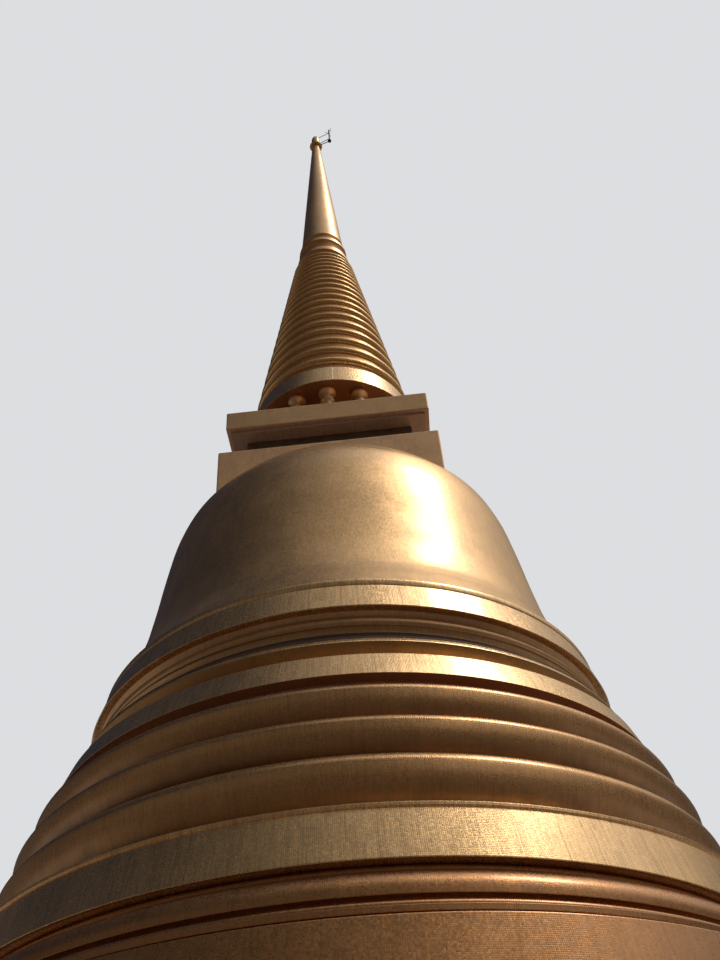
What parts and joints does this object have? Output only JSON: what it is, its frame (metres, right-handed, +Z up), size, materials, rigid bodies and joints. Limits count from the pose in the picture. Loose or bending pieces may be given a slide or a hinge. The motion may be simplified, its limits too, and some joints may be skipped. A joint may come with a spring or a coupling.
{
  "type": "stupa",
  "caption": "Free-standing bell-shaped masonry stupa: round mouldings, flared bell, square throne, ring of colonnettes, ringed tapering spire, plain cone and bud finial.",
  "frame": {"origin": "on the ground at the centre of the base", "axes": "+Z up along the spire, X and Y square to the sides of the throne, -Y the side that faces the viewer"},
  "size_m": [16.12, 16.12, 35.16],
  "materials": {
    "gold_tile": "small gold mosaic tiles, satin to bright",
    "gold_tile_shaded": "small gold mosaic tiles, browner and duller under ledges",
    "gilt_metal": "smooth gilding",
    "dark_metal": "weathered rod"
  },
  "bodies": {
    "root": {"plinth": "gold_tile", "plinth_step": "gold_tile", "foot_torus": "gold_tile", "foot_band": "gold_tile", "foot_moulding": "gold_tile_shaded", "frieze": "gold_tile_shaded", "tall_band": "gold_tile", "great_ring_lower": "gold_tile", "great_ring_middle": "gold_tile", "great_ring_upper": "gold_tile", "upper_band": "gold_tile", "throat_splay": "gold_tile_shaded", "bell_ledge": "gold_tile", "throat_cavetto": "gold_tile_shaded", "throat_astragal": "gold_tile_shaded", "bell_mouth": "gold_tile", "bell": "gold_tile", "throne_base": "gold_tile", "throne_neck": "gold_tile_shaded", "throne_fillet": "gold_tile_shaded", "throne_abacus": "gold_tile", "colonnade_drum": "gold_tile_shaded", "colonnette_01": "gold_tile", "colonnette_02": "gold_tile", "colonnette_03": "gold_tile", "colonnette_04": "gold_tile", "colonnette_05": "gold_tile", "colonnette_06": "gold_tile", "colonnette_07": "gold_tile", "colonnette_08": "gold_tile", "colonnette_09": "gold_tile", "colonnette_10": "gold_tile", "colonnette_11": "gold_tile", "colonnette_12": "gold_tile", "colonnette_13": "gold_tile", "colonnette_14": "gold_tile", "spire_disc": "gold_tile", "spire_rings_lower": "gold_tile", "spire_rings_upper": "gold_tile", "spire_collars": "gold_tile", "spire_cone": "gold_tile", "bud": "gilt_metal", "rod": "dark_metal"}
  },
  "joints": []
}
